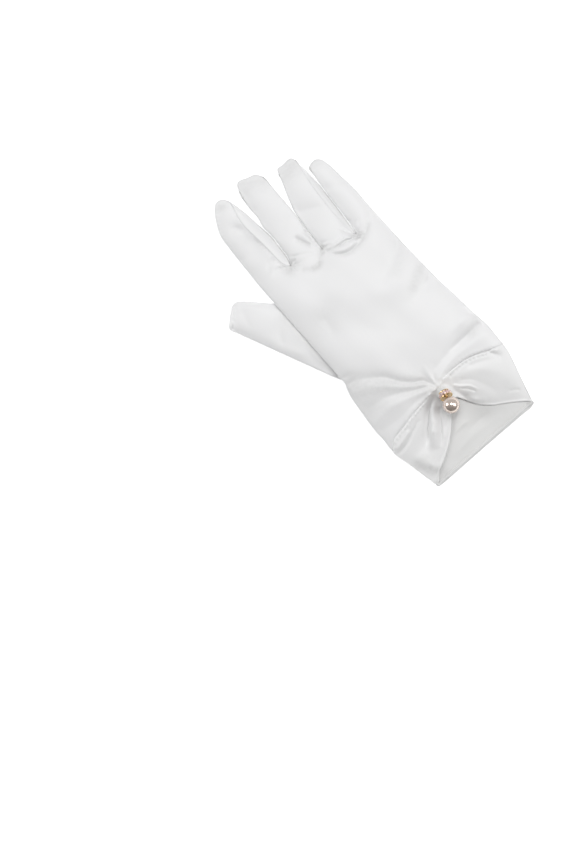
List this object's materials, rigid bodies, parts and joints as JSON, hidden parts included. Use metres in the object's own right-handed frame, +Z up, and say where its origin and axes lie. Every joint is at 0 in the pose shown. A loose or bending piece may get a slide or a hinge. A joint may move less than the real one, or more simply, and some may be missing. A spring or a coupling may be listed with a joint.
{
  "type": "bridal glove",
  "caption": "Short satin glove for the right hand, cuff gathered up at the back of the wrist with a pearl hanging from a jewelled gold spacer.",
  "frame": {"origin": "middle of the footprint, on the surface that the glove lies on", "axes": "+Y from the hem to the fingertips, +X from the thumb side to the little finger side, +Z up through the back of the hand"},
  "size_m": [0.1238, 0.2284, 0.022],
  "materials": {
    "satin": "white stretch satin, soft sheen",
    "gold": "polished gold plate",
    "pearl": "champagne pearl lustre",
    "pin": "plain wire"
  },
  "bodies": {
    "root": {"back_panel": "satin", "palm_panel": "satin", "gusset_index_middle": "satin", "gusset_middle_ring": "satin", "gusset_ring_little": "satin", "thumb": "satin", "cuff": "satin", "spacer": "gold", "pearl": "pearl", "pearl_pin": "pin"}
  },
  "joints": []
}
